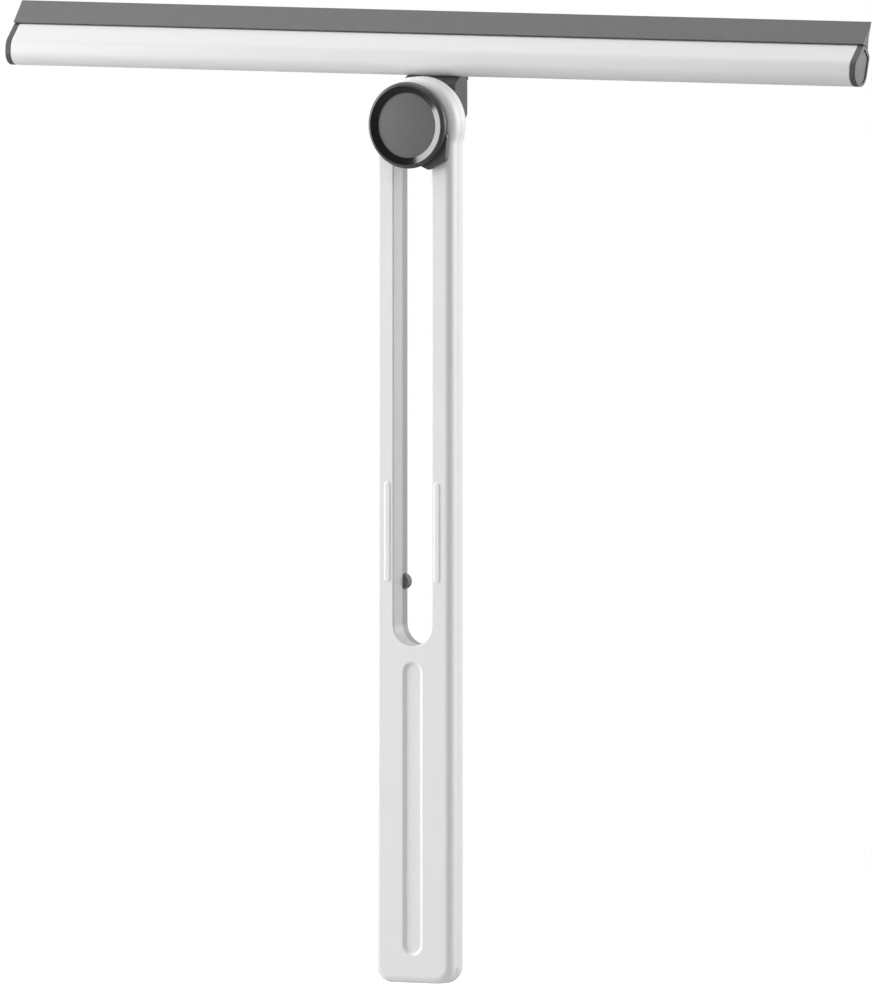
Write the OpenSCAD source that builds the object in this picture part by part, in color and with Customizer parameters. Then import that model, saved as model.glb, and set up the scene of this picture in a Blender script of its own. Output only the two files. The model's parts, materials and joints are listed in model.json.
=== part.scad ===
// Window squeegee: a slotted handle whose wide head is clamped by a knob, turns on the
// clamp bolt and slides along the slot.  All sizes are millimetres.
// +Z runs up the handle, +X along the head and -Y points out of the knob.
// The origin is the centre of the flat lower end of the handle.

/* [Handle] */
// Width of the handle across its flat face
handle_w = 32; // [31:0.5:34]
// Thickness of the handle from front face to back face
handle_t = 11; // [10.5:0.5:11.5]
// Radius of the round upper end
disc_r = 17.3; // [17:0.1:18.5]
// Radius of the rounded long edges
edge_r = 2.8; // [2.2:0.1:3]
// Radius of the two lower corners
foot_r = 6.5; // [6:0.5:8]
// Wall of the hollow shells
wall = 1.9; // [1.6:0.1:2.1]

/* [Slot] */
// Width of the slot that the head travels in
slot_w = 15.6; // [15:0.2:16]
// Height of the slot's lower end
slot_z0 = 122.7; // [120:0.1:126]
// Height of the centre of the stop bumpers
bumper_z = 145.5; // [143:0.5:150]
// Radius of a stop bumper
bumper_r = 2.9; // [2.6:0.1:3]
// How far a stop bumper stands into the slot
bumper_out = 1.8; // [1.4:0.1:2]
// Height of the raised ribs beside the slot
rib_h = 0.3; // [0.2:0.05:0.3]
// Radius of the slot's rounded front rim
rim_round = 0.6; // [0.4:0.1:0.8]

/* [Grip] */
// Width of the thumb groove in the grip
groove_w = 8.6; // [7:0.2:10]
// Height of the groove's lower end
groove_z0 = 9.8; // [9:0.2:14]
// Height of the groove's upper end
groove_z1 = 117.3; // [100:0.1:118]
// Depth of the groove, whose sides swell out of the face
groove_d = 1; // [0.7:0.1:1.1]

/* [Clamp] */
// Height of the clamp bolt, on which the head turns
pivot_z = 312; // [306:0.1:315]
// Radius of the clamp bolt
bolt_r = 3; // [2.8:0.1:3]
// Largest radius of the knob
knob_r = 15.75; // [15:0.05:16]
// Radius of the sunk disc in the knob
knob_disc_r = 12; // [11.6:0.1:12.2]
// How far the knob's rim stands in front of the handle
knob_out = 5.4; // [5.2:0.1:6]

/* [Head] */
// Length of the head and its rubber
head_len = 350; // [250:10:450]
// Thickness of the end caps
cap_t = 2.3; // [2:0.1:3]
// Wall of the hollow aluminium profile
profile_wall = 1.3; // [1.2:0.05:1.4]

/* [Hidden] */
$fn = 64;

front_y = -handle_t / 2;
back_y = handle_t / 2;
slot_r = slot_w / 2;
slot_z1 = pivot_z + slot_r + 0.2;

// The slide rail is set into the back of the handle, round the slot.
rail_t = 4;
rail_flange = 2.3;
rail_y = back_y - rail_t;
bumper_x = slot_r - bumper_out + bumper_r;
bumper_t = 3;
bumper_y = back_y - 0.2 - bumper_t;

// Ribs beside the slot, and how wide their sides and the groove's swell into the face.
rib_w = 3;
rib_gap = 0.9;
rib_side = 0.8;
groove_side = 1.7;
swell_steps = 10;
rib_z0 = 145.6;
rib_z1 = 182.4;

// Self-tapping screws: [length, radius of shank, radius of head, height of head].
// The short ones join the shells from the back, the long ones hold the head's bracket.
shell_screw = [8.2, 0.95, 1.7, 1.1];
bracket_screw = [9, 1.5, 2.5, 1.3];
screw_fit = 0.1;
boss_r = 2.1;
rail_screw_x = 11.95;
shell_screws_at = [for (z = [14, 66, 112]) [0, z],
    for (side = [-1, 1], z = [190, 245, 298]) [side * rail_screw_x, z]];

// Floors and ribs inside the shells.
front_floor = 2;
back_floor_y = 1.5;
rib_t = 1.2;
grip_ribs_z = [28, 47, 85];

// Stack of the clamp, each place measured along Y.
play = 0.55;
fit = 0.05;
knob_base_y = front_y - play;
knob_top_y = front_y - knob_out;
washer_t = 0.8;
web_y = knob_base_y - washer_t - 0.15;
disc_floor_y = knob_top_y + 0.8;
knob_disc_t = 0.9;
front_washer_r = 10.8;
insert_r = 4.8;
shoe_gap = 0.3;
shoe_t = handle_t - 0.4;
shoe_drop = 9;
friction_y = back_y + 0.25;
friction_t = 0.7;
ear_y = friction_y + friction_t + 0.15;
ear_t = 3.6;
ear_r = 13;
spigot_r = 6;
bush_wall = 1.4;
spigot_end_y = ear_y + ear_t + 0.3;
spring_washer_t = 0.7;
spring_washer_r = 8.8;
bolt_head_y = spigot_end_y + spring_washer_t + 0.15;
bolt_head_r = 7.6;
bolt_head_t = 2.7;
neck_half = 3;
neck_len = 3.2;
shoe_foot_x = 5.1;
shoe_foot_w = 2;
shoe_foot_h = 2.2;

// Knob: rounded rim, sloping skirt, flat ring round the sunk disc, and the thumb tab.
knob_rim_r = 1.6;
knob_skirt = 1.1;
knob_ring_w = 2.3;
knob_tab_t = 2.4;
knob_tab = [[13.3, -11.6, 1.7], [14.1, -4, 1.6], [0, -4, 8], [8.1, -14.4, 1.6]];

// Section of the head: circles [y, z, radius] that the outline wraps.
head_y = 7.05;
head_z = 328.8;
lobe_low = [3.9, 5.2, 4.9];
lobe_mid = [4.2, 6.6, 5.1];
corner_front = [6.2, 14.4, 0.8];
corner_top = [8.6, 13.2, 0.8];
corner_back = [9.6, 10.6, 1.2];
lip_n = [0.447, 0.894];
lip_base = [7.6, 14.6];
bead_c = lip_base - 3.2 * lip_n;
bead_r = 1.65;
channel_r = 1.75;
web_r = 2.95;
neck_w = 1.8;
channel_w = 2;

// Rubber: a wedge that sits on the lip of the profile and thins to its wiping edge.
rubber_foot = [[5.3, 15.83], [9.5, 13.73], [9.95, 17.5]];
rubber_tip = [11.85, 23.5];
rubber_edge = 0.3;

// Bracket of the head: an ear with deep side walls, and a foot that cradles the profile,
// whose section is drawn in the section of the head.
bracket_half = 11;
bracket_wall = 1.8;
bracket_wall_y = 16.6;
bracket_screw_x = 6.3;
bracket_screw_y = 12.6;
bracket_screw_z = -4.4;
foot_y = ear_y - head_y;
foot_section = [[foot_y, -4.6], [foot_y, -2], [2.6, -0.2], [3.9, 0.5], [10.2, 6.8],
    [11.2, 6.2], [9.6, -1.2], [6.6, -4.4]];
foot_back_y = head_y + 12;
foot_chamfer = 2.5;

// ---------- helpers ----------

// Extrudes an outline drawn in X and Z from y0 to y1.
module plate(y0, y1) {
    translate([0, y1, 0]) rotate([90, 0, 0]) linear_extrude(y1 - y0) children();
}

// Extrudes an outline drawn in Y and Z from x0 to x1.
module along_x(x0, x1) {
    translate([x0, 0, 0]) rotate([90, 0, 90]) linear_extrude(x1 - x0) children();
}

// Turns a profile round the clamp axis: first its radius, then its distance to the front.
module turned() {
    translate([0, 0, pivot_z]) rotate([90, 0, 0]) rotate_extrude($fn = 96) children();
}

// A round bar or hole along Y.
module pin_y(r, y0, y1, x = 0, z = pivot_z) {
    translate([x, y1, z]) rotate([90, 0, 0]) cylinder(r = r, h = y1 - y0);
}

module stadium(r, z0, z1) {
    translate([0, z0 + r]) circle(r);
    translate([0, z1 - r]) circle(r);
    translate([-r, z0 + r]) square([2 * r, z1 - z0 - 2 * r]);
}

function polar(r, a) = [r * cos(a), r * sin(a)];

// Angle of the outward normal on the outer tangent from circle a to circle b.
function tangent_normal(a, b) =
    atan2(b[1] - a[1], b[0] - a[0]) - acos((a[2] - b[2]) / norm([b[0] - a[0], b[1] - a[1]]));

function turn_to(from, to) = (to - from + 720) % 360;

// A convex outline wrapped round circles, listed anticlockwise as [x, y, radius].
module wrapped(circles, step = 7.5) {
    n = len(circles);
    polygon([for (i = [0:n - 1])
        let (c = circles[i], from = tangent_normal(circles[(i + n - 1) % n], c),
            turn = turn_to(from, tangent_normal(c, circles[(i + 1) % n])),
            steps = max(1, ceil(turn / step)))
        for (k = [0:steps]) [c[0], c[1]] + polar(c[2], from + turn * k / steps)]);
}

// A bar's cross section with four equal round corners.
module round_bar(w, t, r) {
    square([w - 2 * r, t], center = true);
    square([w, t - 2 * r], center = true);
    for (x = [-1, 1], y = [-1, 1]) translate([x * (w / 2 - r), y * (t / 2 - r)]) circle(r);
}

// ---------- handle ----------

module handle_outline(inset = 0) {
    half = handle_w / 2 - inset;
    corner = foot_r - inset;
    translate([0, pivot_z]) circle(disc_r - inset, $fn = 96);
    translate([-half, foot_r]) square([2 * half, pivot_z - foot_r]);
    translate([-half + corner, inset]) square([2 * (half - corner), foot_r]);
    for (side = [-1, 1]) translate([side * (half - corner), foot_r]) circle(corner);
}

// Half of the rounded rim of the upper end, as a turned profile.
module rim_profile(r) {
    half = handle_t / 2 - edge_r;
    translate([0, -handle_t / 2]) square([r - edge_r, handle_t]);
    translate([r - 2 * edge_r, -half]) square([2 * edge_r, 2 * half]);
    for (side = [-1, 1]) translate([r - edge_r, side * half]) circle(edge_r);
}

// The whole handle as one solid with rounded edges.
module handle_blank() {
    translate([0, 0, foot_r]) linear_extrude(pivot_z - foot_r)
        round_bar(handle_w, handle_t, edge_r);
    turned() rim_profile(disc_r);
    intersection() {
        union() {
            for (side = [-1, 1])
                translate([side * (handle_w / 2 - foot_r), 0, foot_r]) rotate([90, 0, 0])
                    rotate_extrude() rim_profile(foot_r);
            along_x(-handle_w / 2 + foot_r, handle_w / 2 - foot_r)
                translate([0, foot_r]) round_bar(handle_t, 2 * foot_r, edge_r);
        }
        translate([-handle_w, -handle_t, 0]) cube([2 * handle_w, 2 * handle_t, foot_r]);
    }
}

module slot_cut() {
    plate(front_y - 1, back_y + 1) stadium(slot_r, slot_z0, slot_z1);
}

// Carries half a section along a round-ended track on the front face: X of the section
// points out from the middle of the track and Y out of the face.
module round_track(z0, z1) {
    translate([0, front_y, 0]) {
        translate([0, 0, z0]) linear_extrude(z1 - z0) {
            mirror([0, 1]) children();
            rotate(180) children();
        }
        for (z = [z0, z1]) translate([0, 0, z]) rotate([90, 0, 0]) rotate_extrude() children();
    }
}

// Half a section of a track: flat in the middle at height h above the face, or below it,
// with sides that swell into the face.  It is closed at the height far.
module swell_section(r, side, h, far) {
    polygon(concat([[0, far], [0, h]],
        [for (k = [0:swell_steps]) [r - side + side * k / swell_steps,
            h * (1 + cos(180 * k / swell_steps)) / 2]],
        [[r, far]]));
}

module groove_cut() {
    r = groove_w / 2;
    round_track(groove_z0 + r, groove_z1 - r) swell_section(r, groove_side, -groove_d, 0.5);
}

// The slot's front rim is rounded where the thumb and the washer pass over it.
module slot_rim_cut() {
    round_track(slot_z0 + slot_r, slot_z1 - slot_r) difference() {
        translate([slot_r - 1, -rim_round]) square([1 + rim_round, rim_round + 1]);
        translate([slot_r + rim_round, -rim_round]) circle(rim_round);
    }
}

module slot_ribs() {
    r = rib_w / 2;
    for (side = [-1, 1]) translate([side * (slot_r + rib_gap + r), 0, 0])
        round_track(rib_z0 + r, rib_z1 - r) swell_section(r, rib_side, rib_h, -0.4);
}

// Hollow of a shell: inside the outer wall and outside the wall round the slot.
module shell_hollow(y0, y1, slot_wall) {
    plate(y0, y1) difference() {
        handle_outline(wall);
        stadium(slot_r + slot_wall, slot_z0 - slot_wall, slot_z1 + slot_wall);
        for (z = grip_ribs_z) translate([-handle_w, z]) square([2 * handle_w, rib_t]);
        for (at = shell_screws_at) translate(at) circle(boss_r);
        translate([-rib_t / 2, 0]) square([rib_t, slot_z0 - 6]);
    }
}

module handle_front_shell() {
    color("whitesmoke") difference() {
        union() {
            intersection() {
                handle_blank();
                translate([-handle_w, -handle_t, 0])
                    cube([2 * handle_w, handle_t, pivot_z + 2 * disc_r]);
            }
            slot_ribs();
        }
        slot_cut();
        slot_rim_cut();
        groove_cut();
        shell_hollow(front_y + front_floor, 1, 1.6);
        for (at = shell_screws_at)
            pin_y(shell_screw[1] + 0.02, front_y + front_floor + 0.2, 1, at[0], at[1]);
        plate(-0.25, 1) difference() {
            handle_outline(-2);
            handle_outline(0.2);
        }
    }
}

module handle_back_shell() {
    color("white") difference() {
        intersection() {
            handle_blank();
            translate([-handle_w, 0, 0])
                cube([2 * handle_w, handle_t, pivot_z + 2 * disc_r]);
        }
        slot_cut();
        plate(rail_y, back_y + 1) stadium(slot_r + rail_flange + fit,
            slot_z0 - rail_flange - fit, slot_z1 + rail_flange + fit);
        shell_hollow(-1, back_floor_y, slot_r - 3);
        for (side = [-1, 1])
            pin_y(bumper_r + fit, bumper_y - fit, back_y + 1, side * bumper_x, bumper_z);
        for (at = shell_screws_at) translate([at[0], back_y, at[1]])
            countersunk_hole(shell_screw);
    }
}

module slide_rail() {
    color("darkgray") difference() {
        plate(rail_y, back_y) difference() {
            stadium(slot_r + rail_flange, slot_z0 - rail_flange, slot_z1 + rail_flange);
            stadium(slot_r, slot_z0, slot_z1);
        }
        for (side = [-1, 1])
            pin_y(bumper_r + fit, bumper_y - fit, back_y + 1, side * bumper_x, bumper_z);
    }
}

module stop_bumpers() {
    color("dimgray") for (side = [-1, 1])
        pin_y(bumper_r, bumper_y, bumper_y + bumper_t, side * bumper_x, bumper_z);
}

// A countersunk screw that points along -Y, with a cross recess in its head.
module countersunk_screw(screw) {
    head = screw[2];
    head_t = screw[3];
    difference() {
        rotate([90, 0, 0]) union() {
            cylinder(r = screw[1], h = screw[0]);
            cylinder(r1 = head, r2 = screw[1], h = head_t);
        }
        for (a = [0, 90]) rotate([0, a, 0])
            translate([-head * 0.6, -head_t * 0.6, -0.2]) cube([head * 1.2, head_t, 0.4]);
    }
}

// The hole for such a screw, open at its head and right through along -Y.
module countersunk_hole(screw, past = 3) {
    bore = screw[1] + screw_fit;
    mouth = screw[2] + screw_fit;
    rotate([90, 0, 0]) rotate_extrude() polygon([[0, -past], [mouth, -past], [mouth, 0],
        [bore, screw[3]], [bore, screw[0] + past], [0, screw[0] + past]]);
}

module shell_screws() {
    color("silver") for (at = shell_screws_at) translate([at[0], back_y - 0.05, at[1]])
        countersunk_screw(shell_screw);
}

// ---------- clamp ----------

// The shoe fills the slot, so the bolt can't turn, and carries the bush of the head.
module slide_shoe() {
    r = slot_r - shoe_gap;
    color("dimgray") difference() {
        union() {
            plate(-shoe_t / 2, shoe_t / 2) {
                translate([0, pivot_z]) circle(r);
                translate([-r, pivot_z - shoe_drop]) square([2 * r, shoe_drop]);
            }
            pin_y(spigot_r, 0, spigot_end_y);
        }
        pin_y(bolt_r + fit, front_y - 1, spigot_end_y + 1);
        translate([-neck_half - fit, spigot_end_y - neck_len - fit, pivot_z - neck_half - fit])
            cube([2 * (neck_half + fit), neck_len + 1, 2 * (neck_half + fit)]);
        for (side = [-1, 1])
            translate([side * shoe_foot_x - shoe_foot_w / 2, -shoe_t, pivot_z - shoe_drop - 1])
                cube([shoe_foot_w, 2 * shoe_t, shoe_foot_h + 1]);
    }
}

// Carriage bolt: domed head at the back, square neck in the shoe, thread to the knob.
module clamp_bolt() {
    dome_r = (bolt_head_r * bolt_head_r + bolt_head_t * bolt_head_t) / (2 * bolt_head_t);
    color("silver") union() {
        pin_y(bolt_r, disc_floor_y + knob_disc_t + 0.2, bolt_head_y + 0.5);
        translate([-neck_half, spigot_end_y - neck_len, pivot_z - neck_half])
            cube([2 * neck_half, bolt_head_y - spigot_end_y + neck_len + 0.5, 2 * neck_half]);
        intersection() {
            translate([0, bolt_head_y + bolt_head_t - dome_r, pivot_z]) sphere(dome_r, $fn = 96);
            pin_y(bolt_head_r + 1, bolt_head_y, bolt_head_y + bolt_head_t + 1);
        }
    }
}

module washer(r_in, r_out, y, t) {
    difference() {
        pin_y(r_out, y, y + t);
        pin_y(r_in, y - 1, y + t + 1);
    }
}

module friction_washer() {
    color("black") washer(spigot_r + 0.1, 12, friction_y, friction_t);
}

module spring_washer() {
    color("silver") washer(neck_half * 1.5, spring_washer_r, spigot_end_y + 0.05,
        spring_washer_t);
}

module front_washer() {
    color("silver") washer(bolt_r + 0.1, front_washer_r, knob_base_y - washer_t, washer_t);
}

// Rounded rim with a sunk middle; the lobe at the lower right is the thumb tab.
module knob_body() {
    base = -knob_base_y;
    top = -knob_top_y;
    inner = knob_r - 2 * knob_rim_r;
    floor_z = -disc_floor_y - knob_disc_t;
    color("dimgray") difference() {
        union() {
            turned() {
                translate([0, base]) square([inner, top - base]);
                translate([knob_r - knob_rim_r, top - knob_rim_r]) circle(knob_rim_r, $fn = 48);
                polygon([[inner - 0.5, base], [knob_r - knob_skirt, base],
                    [knob_r, top - knob_rim_r], [inner - 0.5, top - knob_rim_r]]);
            }
            plate(knob_base_y - knob_tab_t, knob_base_y) translate([0, pivot_z])
                wrapped(knob_tab);
        }
        turned() polygon([[0, top + 1], [knob_disc_r + knob_ring_w, top + 1],
            [knob_disc_r + knob_ring_w, top - 0.05], [knob_disc_r, -disc_floor_y],
            [knob_disc_r, floor_z], [0, floor_z]]);
        turned() square([front_washer_r + 0.3, -web_y]);
        pin_y(insert_r, knob_top_y - 1, knob_base_y + 1, $fn = 6);
    }
}

module knob_insert() {
    color("gold") difference() {
        pin_y(insert_r - 0.03, disc_floor_y + knob_disc_t + 0.05, web_y, $fn = 6);
        pin_y(bolt_r + fit, knob_top_y - 1, knob_base_y + 1);
    }
}

module knob_disc() {
    color("gray") turned() polygon([[0, -disc_floor_y], [knob_disc_r - 0.6, -disc_floor_y],
        [knob_disc_r - 0.1, -disc_floor_y - 0.25], [knob_disc_r - 0.1, -disc_floor_y - knob_disc_t],
        [0, -disc_floor_y - knob_disc_t]]);
}

// ---------- head ----------

module at_head() {
    translate([0, head_y, head_z]) children();
}

module head_outline() {
    wrapped([lobe_low, corner_back, corner_top, corner_front, lobe_mid]);
}

// Hollow of the extrusion, kept clear of the blade channel and the screw rail.
module head_hollow(gap = 0) {
    difference() {
        wrapped([
            [lobe_low[0], lobe_low[1], lobe_low[2] - profile_wall - gap],
            [corner_back[0] - 0.3, corner_back[1] - 0.2, 0.5 - gap / 2],
            [lobe_mid[0], lobe_mid[1], lobe_mid[2] - profile_wall - gap]]);
        translate(bead_c) circle(web_r + gap);
        translate([bracket_screw_y - head_y - 2 - gap, 0]) square([4 + 2 * gap, 4.5 + gap]);
    }
}

// Neck and bead of the rubber, or with a larger size the channel that holds them.
module blade_root(neck, bead) {
    translate(bead_c) circle(bead, $fn = 48);
    polygon([for (p = [[-1, 0], [1, 0], [1, 4], [-1, 4]])
        bead_c + p[1] * lip_n + p[0] * neck / 2 * [lip_n[1], -lip_n[0]]]);
}

// Each screw of the bracket, which points up into the profile.
module at_bracket_screws() {
    for (x = [-bracket_screw_x, bracket_screw_x])
        translate([x, bracket_screw_y, head_z + bracket_screw_z]) rotate([-90, 0, 0])
            children();
}

module bracket_foot() {
    inner = bracket_half - foot_chamfer;
    intersection() {
        at_head() along_x(-bracket_half, bracket_half) polygon(foot_section);
        linear_extrude(2 * head_z) polygon([[-bracket_half, 0], [bracket_half, 0],
            [bracket_half, bracket_wall_y], [inner, foot_back_y], [-inner, foot_back_y],
            [-bracket_half, bracket_wall_y]]);
    }
}

module head_bracket() {
    back = ear_y + ear_t;
    color("dimgray") difference() {
        union() {
            pin_y(ear_r, ear_y, back);
            plate(ear_y, back) translate([-bracket_half, pivot_z])
                square([2 * bracket_half, head_z - pivot_z - 2]);
            bracket_foot();
            for (side = [0, 1]) mirror([side, 0, 0])
                along_x(bracket_half - bracket_wall, bracket_half) polygon([
                    [ear_y + 1, pivot_z - 3], [back, pivot_z - 3],
                    [bracket_wall_y, pivot_z + 3], [bracket_wall_y, head_z + 1],
                    [ear_y + 1, head_z - 4]]);
        }
        at_head() along_x(-20, 20) head_outline();
        pin_y(spigot_r + fit + bush_wall, ear_y - 1, back + 1);
        at_bracket_screws() countersunk_hole(bracket_screw);
    }
}

module pivot_bush() {
    color("gold") washer(spigot_r + fit, spigot_r + fit + bush_wall, ear_y, ear_t);
}

module bracket_screws() {
    color("silver") at_bracket_screws() translate([0, -0.05, 0])
        countersunk_screw(bracket_screw);
}

module head_profile() {
    x1 = head_len / 2 - cap_t;
    color("gainsboro") difference() {
        at_head() along_x(-x1, x1) difference() {
            head_outline();
            head_hollow();
            blade_root(channel_w, channel_r);
        }
        at_bracket_screws() rotate([90, 0, 0])
            cylinder(r = bracket_screw[1] + 0.02, h = bracket_screw[0] + 0.3);
    }
}

module rubber_blade() {
    x1 = head_len / 2;
    root_x = x1 - cap_t - 0.1;
    color("darkslategray") at_head() {
        along_x(-x1, x1) polygon(concat(rubber_foot,
            [rubber_tip + [rubber_edge, 0], rubber_tip]));
        along_x(-root_x, root_x) blade_root(neck_w, bead_r);
    }
}

// One end cap: rimmed face outside, plug that fills the hollow inside.
module end_cap() {
    x1 = head_len / 2;
    rim_w = 1;
    at_head() {
        difference() {
            along_x(x1 - cap_t, x1) head_outline();
            along_x(x1 - 0.4, x1 + 1) wrapped([
                [lobe_low[0], lobe_low[1], lobe_low[2] - rim_w],
                [corner_back[0] - 0.5, corner_back[1] - 0.2, 0.5],
                [corner_front[0] + 0.4, corner_front[1] - 1.3, 0.5],
                [lobe_mid[0], lobe_mid[1], lobe_mid[2] - rim_w]]);
        }
        along_x(x1 - cap_t - 7, x1 - cap_t) head_hollow(0.15);
    }
}

module end_cap_right() {
    color("dimgray") end_cap();
}

module end_cap_left() {
    color("dimgray") mirror([1, 0, 0]) end_cap();
}

handle_front_shell();
handle_back_shell();
slide_rail();
stop_bumpers();
shell_screws();
slide_shoe();
clamp_bolt();
friction_washer();
spring_washer();
front_washer();
knob_body();
knob_insert();
knob_disc();
head_bracket();
pivot_bush();
bracket_screws();
head_profile();
rubber_blade();
end_cap_left();
end_cap_right();
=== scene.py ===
# %% [markdown]
# # A window squeegee, dressed around its working frame
#
# The tool is a slotted handle of two white shells, a clamp with a knob, and a wide head with
# an aluminium profile and a rubber blade.  Its working frame gives the true place and size of
# every part.  This lesson gives each part the rounded edges and the finish of the real one.
# Nothing is moved: every piece is built where the frame says its part is.

# %% Load the frame
import json
import math

import bmesh
import bpy
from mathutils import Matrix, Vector


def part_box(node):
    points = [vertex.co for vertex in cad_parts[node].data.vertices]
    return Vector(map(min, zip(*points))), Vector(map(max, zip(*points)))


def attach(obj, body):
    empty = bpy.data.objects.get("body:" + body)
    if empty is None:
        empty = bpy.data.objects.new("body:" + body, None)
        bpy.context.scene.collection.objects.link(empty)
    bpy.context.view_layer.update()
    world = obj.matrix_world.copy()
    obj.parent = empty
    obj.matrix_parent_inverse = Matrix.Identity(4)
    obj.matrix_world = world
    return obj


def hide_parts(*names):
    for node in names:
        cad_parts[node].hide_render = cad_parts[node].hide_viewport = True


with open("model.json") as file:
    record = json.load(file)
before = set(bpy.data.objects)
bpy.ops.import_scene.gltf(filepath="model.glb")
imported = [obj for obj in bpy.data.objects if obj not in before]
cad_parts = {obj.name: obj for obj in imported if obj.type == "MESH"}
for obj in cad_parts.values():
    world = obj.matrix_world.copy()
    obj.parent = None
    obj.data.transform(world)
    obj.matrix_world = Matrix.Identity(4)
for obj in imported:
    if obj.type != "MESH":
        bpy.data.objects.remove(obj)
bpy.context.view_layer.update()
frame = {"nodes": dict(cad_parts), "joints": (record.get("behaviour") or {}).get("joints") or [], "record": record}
nodes = frame["nodes"]
body_of_node = {node: body for body, names in frame["record"]["behaviour"]["bodies"].items()
                for node in names}
slot_of_node = {row["node"]: row["material_slot"] for row in frame["record"]["subparts"]}
MM = 0.001

# %% [markdown]
# ## The camera
#
# The tool is seen from the right and a little above, from so far away that its long lines
# stay nearly parallel.  An orthographic camera would make them exactly parallel, but then
# nearer things would never look nearer.  A very long lens from fourteen metres keeps a trace
# of depth.  The camera looks along a direction, so the same helper can aim the lamps later.

# %% Camera
AZIMUTH, ELEVATION = math.radians(28.285), math.radians(3.403)
CAMERA_DISTANCE = 14.5
FARTHEST_SEEN = 60
LENS_MM = 1459.3
AIM_HEIGHT, AIM_ASIDE = 0.17801, 0.00598


def show(name, data):
    """Puts a camera, a mesh or a lamp into the scene."""
    thing = bpy.data.objects.new(name, data)
    bpy.context.collection.objects.link(thing)
    return thing


def face(thing, direction):
    """Turns a camera or a lamp to look along a direction."""
    thing.rotation_mode = "QUATERNION"
    thing.rotation_quaternion = direction.to_track_quat("-Z", "Y")


back = Vector((math.sin(AZIMUTH) * math.cos(ELEVATION),
               -math.cos(AZIMUTH) * math.cos(ELEVATION), math.sin(ELEVATION)))
right = Vector((math.cos(AZIMUTH), math.sin(AZIMUTH), 0))
camera = show("camera", bpy.data.cameras.new("camera"))
camera.data.lens = LENS_MM
camera.data.clip_end = FARTHEST_SEEN
camera.location = Vector((0, 0, AIM_HEIGHT)) + right * AIM_ASIDE + back * CAMERA_DISTANCE
face(camera, -back)
bpy.context.scene.camera = camera
print("camera at", [round(v, 2) for v in camera.location])

# %% [markdown]
# ## Nodes and their sockets
#
# A material is a small network of nodes.  It could be drawn by hand in the shader editor,
# but a script can be read and repeated.  One helper makes a node and sets its sockets: a
# plain value is written in, and another node's output is linked.

# %% Add a node
def join(tree, node, sockets):
    """Sets a node's sockets to values, or links them to another node's outputs."""
    for name, value in sockets.items():
        if isinstance(value, bpy.types.NodeSocket):
            tree.links.new(value, node.inputs[name])
        else:
            node.inputs[name].default_value = value


def add(tree, kind, sockets=None, **settings):
    """One node: settings are its own options, sockets are values or outputs to join."""
    node = tree.nodes.new(kind)
    for name, value in settings.items():
        setattr(node, name, value)
    join(tree, node, sockets or {})
    return node


print("node helper ready")

# %% [markdown]
# ## The few nodes that every finish needs
#
# A pattern starts from a point on the object, is shaped by a noise or by its distance to
# something, is taken to a useful range, and then mixes two values or two colours.  Each of
# those steps is one node.  Named helpers let a finish read as a list of decisions.

# %% Steps of a network
# The Mix node has its colour sockets after those for plain values, and with the same names.
MIX_FIRST, MIX_SECOND, MIX_RESULT = 6, 7, 2


def object_point(tree):
    """Where a point lies on the object, in metres, so that a pattern moves with its part."""
    return add(tree, "ShaderNodeTexCoord").outputs["Object"]


def split(tree, point):
    return add(tree, "ShaderNodeSeparateXYZ", {"Vector": point}).outputs


def distance(tree, point):
    return add(tree, "ShaderNodeVectorMath", {0: point}, operation="LENGTH").outputs["Value"]


def calc(tree, operation, first, second):
    return add(tree, "ShaderNodeMath", {0: first, 1: second}, operation=operation).outputs[0]


def noise(tree, point, scale, detail, roughness=0.5):
    return add(tree, "ShaderNodeTexNoise", {"Vector": point, "Scale": scale, "Detail": detail,
                                            "Roughness": roughness}).outputs["Fac"]


def remap(tree, value, start, end, low=0.0, high=1.0, curve="LINEAR"):
    """Takes start to low and end to high, and holds the value beyond them."""
    return add(tree, "ShaderNodeMapRange",
               {"Value": value, "From Min": start, "From Max": end, "To Min": low,
                "To Max": high}, interpolation_type=curve).outputs["Result"]


def mix_values(tree, share, first, second):
    return add(tree, "ShaderNodeMix",
               {"Factor": share, "A": first, "B": second}).outputs["Result"]


def mix_colors(tree, share, first, second):
    return add(tree, "ShaderNodeMix", {"Factor": share, MIX_FIRST: first, MIX_SECOND: second},
               data_type="RGBA").outputs[MIX_RESULT]


print("step helpers ready")

# %% [markdown]
# ## Shader groups
#
# An effect that many finishes share could be copied into each of them, but then a change
# would have to be made in all.  A group is one small network with named sockets.  It is built
# once, and each material places it with values of its own.

# %% Start a group
FLOAT, COLOR = "NodeSocketFloat", "NodeSocketColor"


def new_group(name, inputs, outputs):
    """A shader group: inputs are (name, kind, value) and outputs are (name, kind)."""
    group = bpy.data.node_groups.new(name, "ShaderNodeTree")
    for label, kind, value in inputs:
        socket = group.interface.new_socket(label, in_out="INPUT", socket_type=kind)
        socket.default_value = value
    for label, kind in outputs:
        group.interface.new_socket(label, in_out="OUTPUT", socket_type=kind)
    return group, add(group, "NodeGroupInput").outputs


print("group helper ready")

# %% [markdown]
# ## Effect: the texture of a mould
#
# Moulded plastic is never glassy.  The steel mould is spark eroded, which leaves a fine grain
# on every part it makes, and the plastic shrinks in larger soft waves.  Two separate bumps
# could show that, but a noise at two sizes does it in one, and the same pattern can then drive
# the height, the colour and the gloss together.  Most parts share it, so it is a node group.

# %% Group: mould texture
SKIN_INPUTS = [("Light Tone", COLOR, (1, 1, 1, 1)), ("Dark Tone", COLOR, (0.9, 0.9, 0.9, 1)),
               ("Low Roughness", FLOAT, 0.3), ("High Roughness", FLOAT, 0.4)]
SKIN_OUTPUTS = [("Color", COLOR), ("Roughness", FLOAT), ("Height", FLOAT)]


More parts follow.
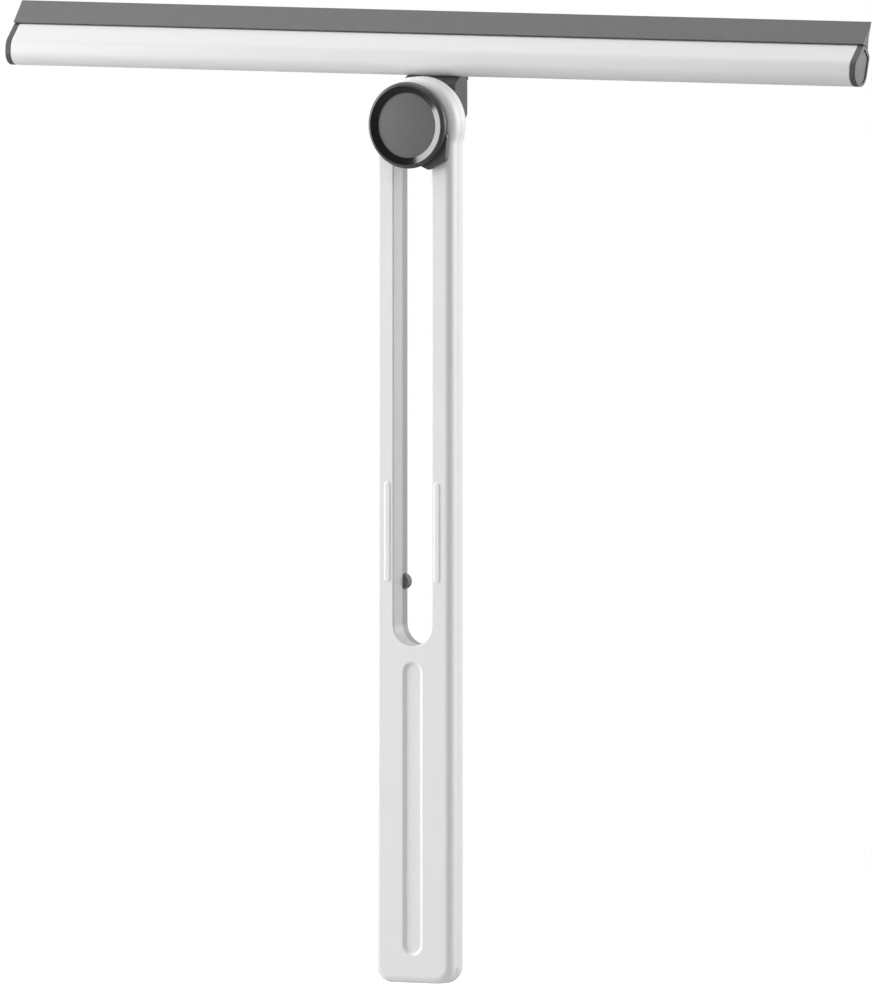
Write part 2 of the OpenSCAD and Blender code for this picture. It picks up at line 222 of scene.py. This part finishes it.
def close_skin(group, given, pattern, gloss_pattern, span):
    """Ends a skin: tone and height follow the pattern, and gloss its own over a span."""
    tone = mix_colors(group, pattern, given["Dark Tone"], given["Light Tone"])
    gloss = remap(group, gloss_pattern, *span, given["Low Roughness"], given["High Roughness"])
    add(group, "NodeGroupOutput", {"Color": tone, "Roughness": gloss, "Height": pattern})


def make_mould_texture():
    group, given = new_group(
        "mould_texture",
        [("Grain Scale", FLOAT, 2600.0), ("Wave Scale", FLOAT, 60.0),
         ("Wave Share", FLOAT, 0.3)] + SKIN_INPUTS, SKIN_OUTPUTS)
    point = object_point(group)
    grain = noise(group, point, given["Grain Scale"], detail=3.0, roughness=0.6)
    wave = noise(group, point, given["Wave Scale"], detail=2.0)
    pattern = mix_values(group, given["Wave Share"], grain, wave)
    close_skin(group, given, pattern, gloss_pattern=wave, span=(0.3, 0.7))
    return group


mould_texture = make_mould_texture()
print("group:", mould_texture.name, [s.name for s in mould_texture.interface.items_tree])

# %% [markdown]
# ## Effect: lines along a part
#
# Aluminium that is pressed through a die, and rubber that is drawn through one, both keep fine
# lines along their length.  A wave texture would draw them too, but evenly, like a comb.  A
# noise whose space is squeezed along X draws lines that start, swell and end as real ones do.
# Broader streaks lie under the fine lines, since a die also wears unevenly.

# %% Group: drawn lines
def make_drawn_lines():
    group, given = new_group(
        "drawn_lines",
        [("Line Scale", FLOAT, 1800.0), ("Streak Scale", FLOAT, 260.0),
         ("Streak Share", FLOAT, 0.45), ("Stretch", FLOAT, 0.01)] + SKIN_INPUTS, SKIN_OUTPUTS)
    point = split(group, object_point(group))
    along = calc(group, "MULTIPLY", point["X"], given["Stretch"])
    squeezed = add(group, "ShaderNodeCombineXYZ",
                   {"X": along, "Y": point["Y"], "Z": point["Z"]}).outputs[0]
    fine = noise(group, squeezed, given["Line Scale"], detail=4.0, roughness=0.65)
    streaks = noise(group, squeezed, given["Streak Scale"], detail=2.0)
    pattern = mix_values(group, given["Streak Share"], fine, streaks)
    close_skin(group, given, pattern, gloss_pattern=pattern, span=(0.35, 0.65))
    return group


drawn_lines = make_drawn_lines()
print("group:", drawn_lines.name, [s.name for s in drawn_lines.interface.items_tree])

# %% [markdown]
# ## Effect: worn edges
#
# Where hands and glass rub, an edge turns paler.  It could be painted, but then every part
# would need its own painting.  Pointiness, which is high where a surface bends outward, finds
# the edges of any part.  A noise breaks the wear up, or it would look like a drawn outline.

# %% Group: worn edges
EDGE_FROM, EDGE_TO = 0.52, 0.6
PATCH_FROM, PATCH_TO = 0.42, 0.62


def make_worn_edges():
    group, given = new_group(
        "worn_edges",
        [("Color", COLOR, (1, 1, 1, 1)), ("Worn Tone", COLOR, (1, 1, 1, 1)),
         ("Amount", FLOAT, 0.3), ("Patch Scale", FLOAT, 220.0)],
        [("Color", COLOR)])
    pointiness = add(group, "ShaderNodeNewGeometry").outputs["Pointiness"]
    edge = remap(group, pointiness, EDGE_FROM, EDGE_TO)
    patch = noise(group, object_point(group), given["Patch Scale"], detail=4.0)
    broken = calc(group, "MULTIPLY", edge, remap(group, patch, PATCH_FROM, PATCH_TO))
    mask = calc(group, "MULTIPLY", broken, given["Amount"])
    tone = mix_colors(group, mask, given["Color"], given["Worn Tone"])
    add(group, "NodeGroupOutput", {"Color": tone})
    return group


worn_edges = make_worn_edges()
print("group:", worn_edges.name, [s.name for s in worn_edges.interface.items_tree])

# %% [markdown]
# ## From effects to a finish
#
# Each slot of the record gets one material.  The Principled shader sits in the material
# itself, and the groups above feed its colour, roughness and normal.  What is the same all
# over, such as metal or the index of refraction, is set on the shader's own sockets.

# %% Start a finish and feed its shader
PLAIN_SOCKETS = {"metallic": "Metallic", "ior": "IOR"}
finish = {}


def grey(value, warmth=0.0):
    """A grey, or with some warmth a tone between grey and brass."""
    return (value * (1 + warmth), value, value * (1 - warmth), 1)


def start_finish(name, **plain):
    """A new material, filed under its name; the plain values are the same all over."""
    material = bpy.data.materials.new(name)
    material.use_nodes = True
    tree = material.node_tree
    shader = tree.nodes["Principled BSDF"]
    join(tree, shader, {PLAIN_SOCKETS[k]: v for k, v in plain.items()})
    finish[name] = material
    print("finish:", name)
    return tree, shader


def place(tree, group, **values):
    """An effect group in a material, with its own values: light_tone sets Light Tone."""
    node = add(tree, "ShaderNodeGroup", node_tree=group)
    join(tree, node, {k.replace("_", " ").title(): v for k, v in values.items()})
    return node.outputs


def worn_color(tree, color, worn, amount):
    return place(tree, worn_edges, color=color, worn_tone=grey(worn), amount=amount)["Color"]


def feed(tree, shader, color, skin, depth):
    """Feeds a colour and a skin's gloss and height to the shader."""
    bump = add(tree, "ShaderNodeBump",
               {"Strength": 1.0, "Distance": depth, "Height": skin["Height"]})
    join(tree, shader, {"Base Color": color, "Roughness": skin["Roughness"],
                        "Normal": bump.outputs["Normal"]})


print("finish helpers ready")

# %% [markdown]
# ## Moulded and drawn
#
# Nearly every part of this tool is either moulded or drawn through a die, and only its tones
# and its gloss set it apart.  So one function builds a finish from either skin, and two more
# say it in a maker's words.  A moulded part has one tone with a spread, and a drawn one runs
# between two tones.

# %% Two ways to make a part
def skinned(name, effect, dark, light, gloss, depth, worn, amount, plain):
    """A finish from one skin effect, with paler edges if the part is worn."""
    tree, shader = start_finish(name, **plain)
    skin = place(tree, effect, light_tone=light, dark_tone=dark, low_roughness=gloss[0],
                 high_roughness=gloss[1])
    color = worn_color(tree, skin["Color"], worn, amount) if worn else skin["Color"]
    feed(tree, shader, color, skin, depth)


def moulded(name, tone, spread, gloss, depth, worn=None, amount=0.0, warmth=0.0, **plain):
    """Moulded plastic or rubber, with the texture of its mould."""
    skinned(name, mould_texture, grey(tone * (1 - spread), warmth),
            grey(tone * (1 + spread), warmth), gloss, depth, worn, amount, plain)


def drawn(name, dark, light, gloss, depth, worn=None, amount=0.0, **plain):
    """A part drawn or pressed through a die, with lines along its length."""
    skinned(name, drawn_lines, grey(dark), grey(light), gloss, depth, worn, amount, plain)


print("moulded and drawn finishes ready")

# %% [markdown]
# ## The handle's white, with painted shade in the slot
#
# The slot's walls and their rim are painted greyer than the faces, as painted shade for the
# little light that reaches into the slot.  The walls could have a material of their own, but
# they are one solid with the shell.  A mask finds them by their distance to the slot's middle
# line.  That line is one straight piece, so a point's height is clamped to the two ends before
# its distance is taken.

# %% Finish of the handle
RAIL_FLANGE = 2.3 * MM
# Where the painted shade in the slot begins and where it is full, and its grey.
SLOT_SHADE_BEGINS, SLOT_SHADE_FULL = 0.2 * MM, 0.02 * MM
WHITE_DARK, WHITE_LIGHT, WHITE_WORN, SLOT_SHADE_GREY = 0.83, 0.86, 0.92, 0.56
rail_low, rail_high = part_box("slide_rail")
slot_half = rail_high.x - RAIL_FLANGE
slot_ends = rail_low.z + rail_high.x, rail_high.z - rail_high.x


def handle_finish():
    tree, shader = start_finish("handle_white")
    point = split(tree, object_point(tree))
    nearest = add(tree, "ShaderNodeClamp", {"Value": point["Z"], "Min": slot_ends[0],
                                            "Max": slot_ends[1]}).outputs[0]
    beyond = calc(tree, "SUBTRACT", point["Z"], nearest)
    across = add(tree, "ShaderNodeCombineXYZ", {"X": point["X"], "Z": beyond}).outputs[0]
    # Painted shade: near the slot's walls the white is mixed towards a darker grey.
    slot_shade = remap(tree, distance(tree, across), slot_half + SLOT_SHADE_BEGINS,
                   slot_half + SLOT_SHADE_FULL)
    skin = place(tree, mould_texture, light_tone=grey(WHITE_LIGHT), dark_tone=grey(WHITE_DARK),
                 low_roughness=0.30, high_roughness=0.40)
    white = worn_color(tree, skin["Color"], WHITE_WORN, amount=0.2)
    feed(tree, shader, mix_colors(tree, slot_shade, white, grey(SLOT_SHADE_GREY)), skin, depth=0.01 * MM)


handle_finish()
print("slot", round(2 * slot_half / MM, 2), "mm wide, its arcs centred at",
      [round(z / MM, 1) for z in slot_ends])

# %% [markdown]
# ## The rail and its bumpers
#
# The rail in the handle's back is a mid grey plastic with a satin gloss, which the shoe keeps
# polished at its edges.  The bumpers that stop the shoe are soft rubber: darker, much
# rougher, and never pale at an edge, because rubber wears away in place of shining.

# %% Finish of the rail and the bumpers
moulded("rail_grey", tone=0.33, spread=0.05, gloss=(0.35, 0.5), depth=0.02 * MM,
        worn=0.42, amount=0.3)
moulded("bumper_rubber", tone=0.17, spread=0.08, gloss=(0.6, 0.75), depth=0.02 * MM)

# %% [markdown]
# ## The clamp's steel, brass and fibre
#
# Screws and bolts are turned from drawn wire, so they take the drawn lines with full metal.
# The two brass bushes are metal too, with a warm tone in place of grey.  Metal has no colour
# of its own under the shine: its base colour is the colour of its reflections.  The washer is
# pressed fibre, dull and mottled, which is only the mould texture with a wide spread.

# %% Finish of the clamp's small parts
drawn("screw_steel", dark=0.5, light=0.7, gloss=(0.25, 0.4), depth=0.005 * MM, metallic=1.0)
drawn("bolt_steel", dark=0.5, light=0.68, gloss=(0.2, 0.35), depth=0.005 * MM, metallic=1.0)
moulded("insert_brass", tone=0.55, spread=0.05, gloss=(0.25, 0.35), depth=0.005 * MM,
        warmth=0.42, metallic=1.0)
moulded("washer_fibre", tone=0.05, spread=0.25, gloss=(0.7, 0.85), depth=0.03 * MM)

# %% [markdown]
# ## The knob: satin, matt and polished
#
# Three finishes meet on the knob.  Its rim is satin and a little worn, and its sunk disc is
# paler and more matt.  The ring between them is polished: nearly black, with a low roughness
# and a higher index of refraction, so that what it mirrors is stronger than its own colour.
# A metal ring would mirror far too much, and its dark side would turn grey.

# %% Finish of the knob, its disc and its ring
moulded("knob_grey", tone=0.075, spread=0.08, gloss=(0.28, 0.36), depth=0.008 * MM,
        worn=0.1, amount=0.3)
moulded("disc_grey", tone=0.135, spread=0.06, gloss=(0.42, 0.52), depth=0.02 * MM)
moulded("knob_polish", tone=0.009, spread=0.1, gloss=(0.13, 0.17), depth=0.002 * MM, ior=1.8)

# %% [markdown]
# ## The head: bracket, aluminium, rubber and caps
#
# The bracket is a dark, coarse plastic.  A lower index of refraction keeps its reflections
# weak, as dust does on the real one.  The profile is aluminium under a pale satin lacquer, so
# it is drawn but has only a touch of metal: bare metal would mirror the dark side of the room.
# The rubber is drawn as well, and its lip is paler where it has run over glass.

# %% Finish of the head
moulded("bracket_grey", tone=0.095, spread=0.12, gloss=(0.45, 0.6), depth=0.03 * MM,
        worn=0.14, amount=0.4, ior=1.35)
drawn("profile_aluminium", dark=0.75, light=0.79, gloss=(0.50, 0.60), depth=0.006 * MM,
      metallic=0.15)
drawn("blade_rubber", dark=0.138, light=0.158, gloss=(0.5, 0.62), depth=0.01 * MM,
      worn=0.22, amount=0.3)
moulded("cap_grey", tone=0.08, spread=0.1, gloss=(0.35, 0.5), depth=0.02 * MM,
        worn=0.17, amount=0.3)

# %% [markdown]
# ## From mesh work to a piece
#
# A mesh is worked on as loose data and becomes an object when it is done.  Cutting edges can
# leave faces without area, or a mesh that is inside out, and both would spoil its shading and
# its use elsewhere.  So the work is cleaned and its volume is measured first.  The piece then
# rides on its body and stands for its working part.  Normals weighted by area keep its flats
# flat beside the rounds.

# %% Settle finished mesh work
SLIVER = 0.001 * MM
CREASE = math.radians(32)


def show_mesh(work, name, crease, material):
    """Turns finished mesh work into an object, smooth but for its steep edges."""
    mesh = bpy.data.meshes.new(name)
    work.to_mesh(mesh)
    work.free()
    mesh.shade_smooth()
    mesh.set_sharp_from_angle(angle=crease)
    mesh.materials.append(material)
    return show(name, mesh)


def settle(work, node):
    """Cleans finished mesh work and makes it the piece that stands for a node."""
    bmesh.ops.dissolve_degenerate(work, dist=SLIVER, edges=work.edges)
    bmesh.ops.recalc_face_normals(work, faces=work.faces)
    if work.calc_volume(signed=True) < 0:
        bmesh.ops.reverse_faces(work, faces=work.faces)
    open_edges = sum(1 for e in work.edges if len(e.link_faces) != 2)
    low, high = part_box(node)
    past = max(max(low[i] - v.co[i], v.co[i] - high[i]) for v in work.verts
               for i in range(3))
    piece = show_mesh(work, node + "_soft", CREASE, finish[slot_of_node[node]])
    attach(piece, body_of_node[node])
    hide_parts(node)
    lit = piece.modifiers.new("even_normals", "WEIGHTED_NORMAL")
    lit.keep_sharp = True
    print(f"{node}: {len(piece.data.polygons)} faces, {open_edges} open edges, "
          f"{past / MM:.3f} mm past its box")


print("settling helpers ready")

# %% [markdown]
# ## Rounded edges
#
# A real moulded or sawn part has no razor edges: each has a small round that catches the
# light.  A bevel modifier would round every edge, also those of hidden ribs and screw holes.
# So each visible solid is copied, its flat faces are joined again, and a bevel is cut along
# the outward edges chosen for it.

# %% Soften a copy of a node
WELD = 0.002 * MM
FLAT = math.radians(0.2)
SHARPEST = math.radians(28)
ROUND_STEPS = 3


def softened(node, width, wanted=None):
    """A copy of a CAD node with its chosen edges rounded, which then stands for it."""
    work = bmesh.new()
    work.from_mesh(nodes[node].data)
    bmesh.ops.remove_doubles(work, verts=work.verts, dist=WELD)
    bmesh.ops.dissolve_limit(work, angle_limit=FLAT, verts=work.verts, edges=work.edges)
    edges = [e for e in work.edges if len(e.link_faces) == 2 and e.is_convex
             and e.calc_face_angle(0.0) > SHARPEST
             and (wanted is None or wanted((e.verts[0].co + e.verts[1].co) / 2))]
    bmesh.ops.bevel(work, geom=edges, offset=width, offset_type="OFFSET",
                    segments=ROUND_STEPS, profile=0.5, affect="EDGES", clamp_overlap=False,
                    loop_slide=False)
    settle(work, node)


print("rounding helper ready")

# %% [markdown]
# ## The head
#
# The aluminium profile is one long extrusion, cut square, so its edges are nearly sharp.  Its
# rubber sits in a channel and is cut flush, with a slightly rounder edge.  Two moulded caps
# close the ends, and moulded parts are rounder still.  All three could be modelled anew, but
# rounding copies of the working solids keeps them true to the tool's own sizes.

# %% Profile, rubber and caps
softened("head_profile", 0.12 * MM)
softened("rubber_blade", 0.18 * MM)
softened("end_cap_left", 0.25 * MM)
softened("end_cap_right", 0.25 * MM)

# %% [markdown]
# ## The bracket
#
# The bracket holds the profile in a cradle and hangs on the clamp bolt by an ear.  It is a
# thick moulding with soft edges.  The bevel has to stay out of the hole of its brass bush and
# out of its two screw holes, or they would no longer fit.  The frame says where those are,
# so edges near them are left alone.

# %% Bracket
SCREW_CLEARANCE = 0.3 * MM
BUSH_CLEARANCE = 8.5 * MM
pivot = Vector(next(j["pos_m"] for j in frame["joints"] if j["name"] == "head_pivot"))
screw_low, screw_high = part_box("bracket_screws")
screw_head = (screw_high.y - screw_low.y) / 2
screw_x = screw_high.x - screw_head
screw_y = screw_low.y + screw_head


def off_the_holes(middle):
    """True away from the bracket's bush and its two screws."""
    to_screw = math.hypot(abs(middle.x) - screw_x, middle.y - screw_y)
    to_bush = math.hypot(middle.x - pivot.x, middle.z - pivot.z)
    return to_screw > screw_head + SCREW_CLEARANCE and to_bush > BUSH_CLEARANCE


softened("head_bracket", 0.5 * MM, off_the_holes)

# %% [markdown]
# ## The two shells
#
# The handle is moulded in two halves that meet along one seam.  The seam itself stays crisp,
# since the halves are pressed together there, and so do the ribs inside.  Only the edges at
# the very front and the very back are rounded, and a test of depth picks those.

# %% Shells
FRONT_LAYER = 1.2 * MM
BACK_LAYER = 0.3 * MM
front_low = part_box("handle_front_shell")[0]
back_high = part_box("handle_back_shell")[1]


def on_front(middle):
    return middle.y < front_low.y + FRONT_LAYER


def on_back(middle):
    return middle.y > back_high.y - BACK_LAYER


softened("handle_front_shell", 0.3 * MM, on_front)
softened("handle_back_shell", 0.25 * MM, on_back)

# %% [markdown]
# ## The rail and the knob
#
# The rail is a frame round the slot, and the knob is round with one straight tab for the
# thumb.  The knob could be turned anew, but the tab would then have to be joined to it.  Both
# are open to view on all their outward edges, so their copies are rounded all over.

# %% Rail and knob
softened("slide_rail", 0.3 * MM)
softened("knob_body", 0.25 * MM)

# %% [markdown]
# ## A lathe for round pieces
#
# The knob's ring and its disc are round, so each is a section turned about the clamp's axis.
# Blender's screw modifier can turn a profile too, but a mesh made step by step is closed from
# the start and its steps are known.  Points of the section that lie on the axis meet in one
# place, so they are welded at the end.

# %% Turn a section round the clamp axis
TURN_STEPS = 160
TURNED_CREASE = math.radians(10)
SAME_POINT = 0.0001 * MM


def turned_piece(name, section, body, material):
    """section is a closed loop of (radius, y) that is turned round the clamp axis."""
    work = bmesh.new()
    loops = []
    for step in range(TURN_STEPS):
        angle = 2 * math.pi * step / TURN_STEPS
        loops.append([work.verts.new((pivot.x + r * math.cos(angle), y,
                                      pivot.z + r * math.sin(angle))) for r, y in section])
    for step, loop in enumerate(loops):
        following = loops[(step + 1) % TURN_STEPS]
        for i in range(len(section)):
            j = (i + 1) % len(section)
            work.faces.new((loop[i], loop[j], following[j], following[i]))
    bmesh.ops.remove_doubles(work, verts=work.verts, dist=SAME_POINT)
    bmesh.ops.recalc_face_normals(work, faces=work.faces)
    piece = show_mesh(work, name, TURNED_CREASE, material)
    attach(piece, body)
    print(f"{name}: {len(piece.data.polygons)} faces")
    return piece


print("lathe ready:", TURN_STEPS, "steps a turn")

# %% [markdown]
# ## The polished ring
#
# Between the knob's satin rim and its disc runs a sloping ring, polished until it mirrors the
# lamps: black on one side, and with a bright crescent on the other.  A round bevel would show
# only a thin line of light.  A flat cone keeps one direction across its width, so the
# crescent is as wide as the ring.  The cone starts just below the rim and ends just in front
# of the disc.

# %% The ring
DISC_GAP = 0.08 * MM
RING_WIDTH = 2.35 * MM
RING_EDGE = 0.1 * MM
RING_DEPTH = 0.4 * MM
BELOW_THE_RIM = 0.008 * MM
BEFORE_THE_DISC = 0.03 * MM
knob_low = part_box("knob_body")[0]
disc_low, disc_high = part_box("knob_disc")
disc_radius = (disc_high.x - disc_low.x) / 2
ring_in = disc_radius + DISC_GAP
ring_out = ring_in + RING_WIDTH
crest = knob_low.y + BELOW_THE_RIM
foot = disc_low.y - BEFORE_THE_DISC
turned_piece("knob_ring", [(ring_in, foot), (ring_out, crest),
                           (ring_out + RING_EDGE, crest + RING_EDGE),
                           (ring_out, foot + RING_DEPTH), (ring_in, foot + RING_DEPTH)],
             "knob", finish["knob_polish"])
slope = math.degrees(math.atan2(foot - crest, ring_out - ring_in))
print("ring:", round(slope, 1), "degrees of slope")

# %% [markdown]
# ## The disc
#
# The sunk disc closes the knob.  A flat disc would mirror one single spot of the room and
# show one even grey.  Moulded discs are slightly domed, so that they don't sink in as they
# cool, and the dome makes the disc a little lighter on the side of the key lamp.  The dome
# stays inside the thickness of the working disc, which it stands for.

# %% The domed disc
DOME = 0.45 * MM
DOME_STEPS = 24
dome = [(disc_radius * i / DOME_STEPS, disc_low.y + DOME * (i / DOME_STEPS) ** 2)
        for i in range(DOME_STEPS + 1)]
disc = turned_piece("knob_disc_domed", dome + [(disc_radius, disc_high.y), (0, disc_high.y)],
                    "knob", finish["disc_grey"])
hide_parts("knob_disc")
print("disc:", round((disc_high.y - disc_low.y) / MM, 2), "mm thick, sunk",
      round((disc_low.y - knob_low.y) / MM, 2), "mm below the rim")

# %% [markdown]
# ## The parts that stay as they are
#
# Screws, bolt, washers, bushes, shoe and bumpers are small or half hidden, and their working
# solids already have their true form.  They only need their finishes.  Every node gets one,
# also those that a softened copy stands for, so that no part is ever seen bare.

# %% Finish the nodes
for name, node in nodes.items():
    node.data.materials.clear()
    node.data.materials.append(finish[slot_of_node[name]])
    node.data.shade_smooth()
print("all nodes finished")

# %% [markdown]
# ## The floor
#
# The tool stands over a pale, dull floor that keeps its shadow.  A floor that ends would show
# an edge, so this one turns into pure white with distance and no horizon is seen.  In mirrors
# it does so only behind the tool.  Light Path tells the rays apart: the floor is whitest to
# the camera, less bright as a source of light, and dark in mirrors, as a real studio floor is
# outside the lamps' reach.

# %% Finish of the floor
SEEN_TONE, BOUNCE_TONE, MIRROR_TONE = 1.1, 0.58, 0.15
FADE_FROM, FADE_TO = 0.45, 1.1
BEHIND_FROM, BEHIND_TO = -0.1, 0.5


def floor_finish():
    material = bpy.data.materials.new("floor_pale")
    material.use_nodes = True
    tree = material.node_tree
    tree.nodes.clear()
    rays = add(tree, "ShaderNodeLightPath").outputs
    unseen = mix_colors(tree, rays["Is Glossy Ray"], grey(BOUNCE_TONE), grey(MIRROR_TONE))
    tone = mix_colors(tree, rays["Is Camera Ray"], unseen, grey(SEEN_TONE))
    dull = add(tree, "ShaderNodeBsdfDiffuse", {"Color": tone}).outputs[0]
    white = add(tree, "ShaderNodeEmission", {"Color": grey(1.0), "Strength": 1.0}).outputs[0]
    point = object_point(tree)
    fade = remap(tree, distance(tree, point), FADE_FROM, FADE_TO, curve="SMOOTHSTEP")
    behind = remap(tree, split(tree, point)["Y"], BEHIND_FROM, BEHIND_TO, curve="SMOOTHSTEP")
    in_mirrors = calc(tree, "MULTIPLY", behind, rays["Is Glossy Ray"])
    direct = calc(tree, "MAXIMUM", rays["Is Camera Ray"], in_mirrors)
    share = calc(tree, "MULTIPLY", fade, direct)
    both = add(tree, "ShaderNodeMixShader", {0: share, 1: dull, 2: white}).outputs[0]
    add(tree, "ShaderNodeOutputMaterial", {"Surface": both})
    return material


pale_floor = floor_finish()
print("finish:", pale_floor.name)

# %% [markdown]
# ## Lay the floor
#
# The floor lies a little below the handle's end, so that the tool's shadow is soft and apart
# from it.  A plane would do, and a grid of four squares is the same plane.  It is made so
# large that its edge is never seen.  Colours are shown as they are: the Standard view
# transform adds no film look.

# %% Floor
FLOOR_HEIGHT = -0.025
FLOOR_HALF = 40.0
bpy.context.scene.view_settings.view_transform = "Standard"
work = bmesh.new()
bmesh.ops.create_grid(work, x_segments=2, y_segments=2, size=FLOOR_HALF)
floor_mesh = bpy.data.meshes.new("floor")
work.to_mesh(floor_mesh)
work.free()
floor_mesh.materials.append(pale_floor)
floor = show("floor", floor_mesh)
floor.location.z = FLOOR_HEIGHT
print("floor at", FLOOR_HEIGHT)

# %% [markdown]
# ## The room
#
# A plain white world would light the tool from all sides and fill every mirror with white.
# A studio is bright behind the tool, where the backdrop hangs, and dark on the camera's side.
# So the world's strength changes with the direction, and mirrors see that darkness more
# strongly than dull surfaces do.  It gives the knob's ring its black band.

# %% World
# Each pair is the strength on the camera's side of the room and the strength behind the tool.
AS_LAMP = (0.4, 0.72)
IN_MIRRORS = (0.07, 1.0)
TURN_FROM, TURN_TO = -0.6, 0.4


def room_light(tree, across, strengths):
    return remap(tree, across, TURN_FROM, TURN_TO, *strengths, curve="SMOOTHSTEP")


world = bpy.data.worlds.new("studio")
world.use_nodes = True
bpy.context.scene.world = world
tree = world.node_tree
tree.nodes.clear()
across = split(tree, add(tree, "ShaderNodeTexCoord").outputs["Generated"])["Y"]
rays = add(tree, "ShaderNodeLightPath").outputs
unseen = mix_values(tree, rays["Is Glossy Ray"], room_light(tree, across, AS_LAMP),
                    room_light(tree, across, IN_MIRRORS))
level = mix_values(tree, rays["Is Camera Ray"], unseen, 1.0)
sky = add(tree, "ShaderNodeBackground", {"Color": grey(1.0), "Strength": level}).outputs[0]
add(tree, "ShaderNodeOutputWorld", {"Surface": sky})
print("world:", AS_LAMP, IN_MIRRORS)

# %% [markdown]
# ## The lamps
#
# Soft light needs large lamps, so each is a rectangle, as a softbox is.  The key stands close
# on the left, so the head grows darker to the right and the ring mirrors it as a crescent.
# The fill comes from behind on the right and draws the handle's far side, and a wide lamp
# above lights the upper faces.  A single lamp would leave the right side black.

# %% Lamps
def softbox(name, place_at, aim, width, height, watts):
    lamp = bpy.data.lights.new(name, "AREA")
    lamp.shape, lamp.size, lamp.size_y, lamp.energy = "RECTANGLE", width, height, watts
    thing = show(name, lamp)
    thing.location = place_at
    face(thing, Vector(aim) - Vector(place_at))
    print(f"{name}: {width} by {height} m, {watts} W")


softbox("key_left", place_at=(-0.95, -0.5, 0.42), aim=(0, 0, 0.3), width=0.7, height=0.8,
        watts=10.5)
softbox("fill_right", place_at=(0.9, 0.9, 0.55), aim=(0, 0, 0.2), width=0.7, height=0.7,
        watts=8)
softbox("top", place_at=(-0.3, -0.3, 1.9), aim=(0, 0, 0.2), width=1.2, height=1.2, watts=9)
